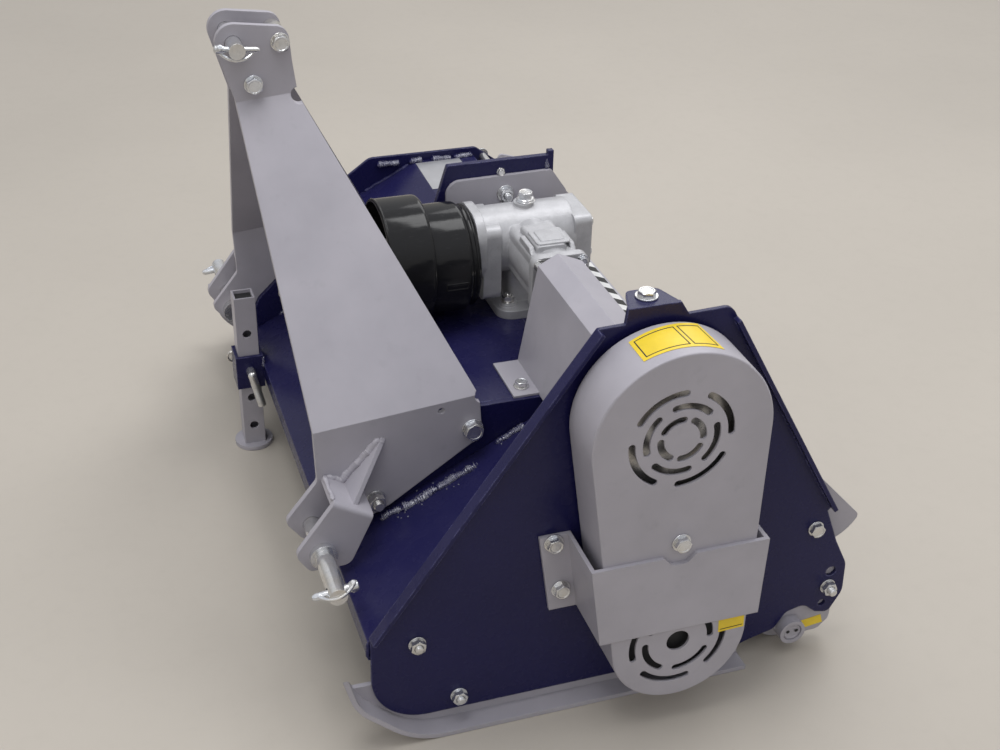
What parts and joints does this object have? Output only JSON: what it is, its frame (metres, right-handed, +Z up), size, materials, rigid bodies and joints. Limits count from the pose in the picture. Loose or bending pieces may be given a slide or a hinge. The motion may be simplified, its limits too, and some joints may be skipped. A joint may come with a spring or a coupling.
{
  "type": "tractor-mounted flail mulcher",
  "caption": "Compact three-point-linkage flail mulcher with belt-driven rotor, gearbox on the deck, hinged rear hood, rear roller, skids and a parking stand.",
  "frame": {"origin": "on the floor under the middle of the hull, on the linkage's centre plane", "axes": "+Z up, -Y towards the tractor, +X towards the belt-guard end (the machine's left)"},
  "size_m": [1.038, 0.6778, 0.7089],
  "materials": {
    "grey": "satin",
    "navy": "gloss",
    "zinc": "zinc plated",
    "cast": "as cast, painted silver",
    "black": "gloss",
    "steel": "machined",
    "iron": "cast",
    "dark": "satin"
  },
  "bodies": {
    "frame_body": {"arm_bracket_left": "navy", "arm_bracket_right": "navy", "belt_guard": "grey", "clevis_bolts": "zinc", "counter_bar": "navy", "deck_sheet": "navy", "gearbox_bracket": "navy", "gearbox_housing": "cast", "gearbox_mount_plate": "grey", "guard_strap": "grey", "hinge_rod": "zinc", "hitch_arm_left": "grey", "hitch_arm_right": "grey", "hitch_bracket_left": "grey", "hitch_bracket_right": "grey", "input_guard": "black", "lower_pin_left": "zinc", "lower_pin_right": "zinc", "platform": "navy", "roller_arm_left": "grey", "roller_arm_right": "grey", "rotor_bearing_left": "iron", "rotor_bearing_right": "iron", "scraper_bar": "grey", "shaft_bearing": "iron", "shaft_cover": "grey", "side_plate_left": "navy", "side_plate_right": "navy", "skid_left": "grey", "skid_right": "grey", "stand_pin": "zinc", "stand_sleeve": "navy", "tension_bolt": "zinc", "top_pin": "zinc"},
    "rotor_body": {"rotor": "dark", "rotor_pulley": "iron"},
    "drive_body": {"drive_shaft": "steel"},
    "input_body": {"input_shaft": "steel"},
    "hood_body": {"rear_hood": "grey"},
    "roller_body": {"roller": "grey"},
    "stand_body": {"stand_leg": "grey"}
  },
  "joints": [
    {"name": "rotor_spin", "type": "hinge", "parent": "frame_body", "child": "rotor_body", "pos_m": [0, 0.063, 0.1225], "axis": [1, 0, 0], "continuous": true},
    {"name": "drive_spin", "type": "hinge", "parent": "frame_body", "child": "drive_body", "pos_m": [0.3, 0.043, 0.4], "axis": [1, 0, 0], "continuous": true},
    {"name": "input_spin", "type": "hinge", "parent": "frame_body", "child": "input_body", "pos_m": [0.035, -0.06, 0.4], "axis": [0, 1, 0], "continuous": true},
    {"name": "roller_spin", "type": "hinge", "parent": "frame_body", "child": "roller_body", "pos_m": [0, 0.255, 0.032], "axis": [1, 0, 0], "continuous": true},
    {"name": "hood_hinge", "type": "hinge", "parent": "frame_body", "child": "hood_body", "pos_m": [0, 0.149, 0.299], "axis": [1, 0, 0], "range_deg": [0, 75]},
    {"name": "stand_slide", "type": "slide", "parent": "frame_body", "child": "stand_body", "axis": [0, 0, 1], "range_m": [0, 0.066]}
  ],
  "couplings": [
    {"joint": "drive_spin", "follows": "rotor_spin", "ratio": 0.725},
    {"joint": "input_spin", "follows": "rotor_spin", "ratio": 0.2417}
  ]
}
